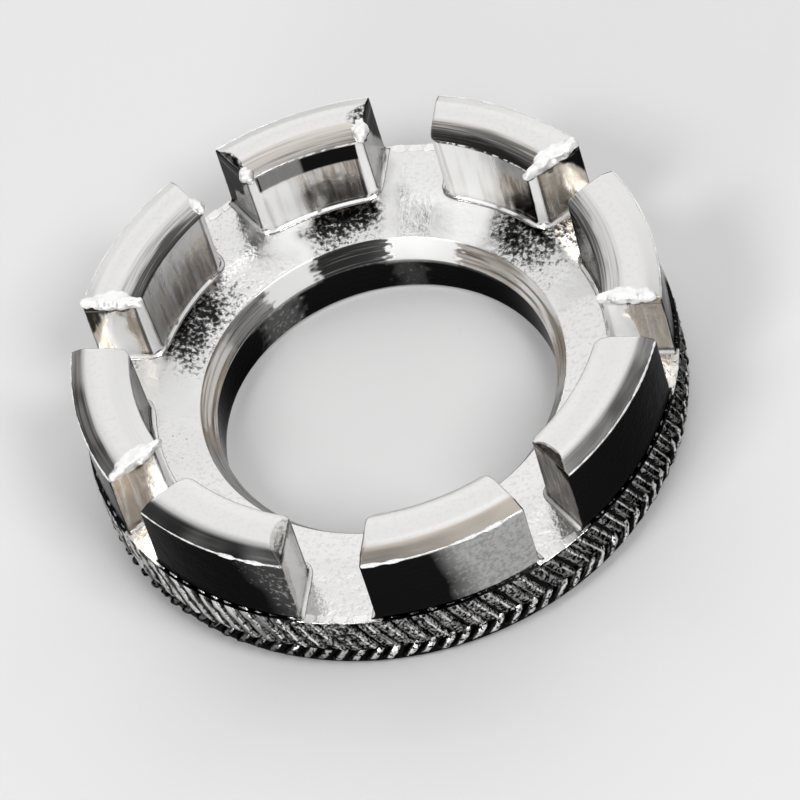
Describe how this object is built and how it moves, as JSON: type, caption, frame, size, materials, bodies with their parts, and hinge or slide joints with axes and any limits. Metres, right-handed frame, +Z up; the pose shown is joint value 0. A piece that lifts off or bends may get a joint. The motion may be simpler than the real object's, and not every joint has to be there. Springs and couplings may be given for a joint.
{
  "type": "spoke wrench",
  "caption": "Round plated spoke wrench: a knurled ring with jaws round its rim and slots of graded widths between them for spoke nipples.",
  "frame": {"origin": "centre of the flat underside, on the axis of the bore", "axes": "+Z up through the bore towards the jaws' crown, +X along slot 1, +Y along slot 3, one of the two widest slots"},
  "size_m": [0.036, 0.036, 0.01],
  "materials": {
    "plated_metal": "bright nickel-chrome plate over a cast skin, with a fine turned crown and bore bevel"
  },
  "bodies": {
    "root": {"base_ring": "plated_metal", "knurled_grip": "plated_metal", "jaw_1": "plated_metal", "jaw_2": "plated_metal", "jaw_3": "plated_metal", "jaw_4": "plated_metal", "jaw_5": "plated_metal", "jaw_6": "plated_metal", "jaw_7": "plated_metal", "jaw_8": "plated_metal"}
  },
  "joints": []
}
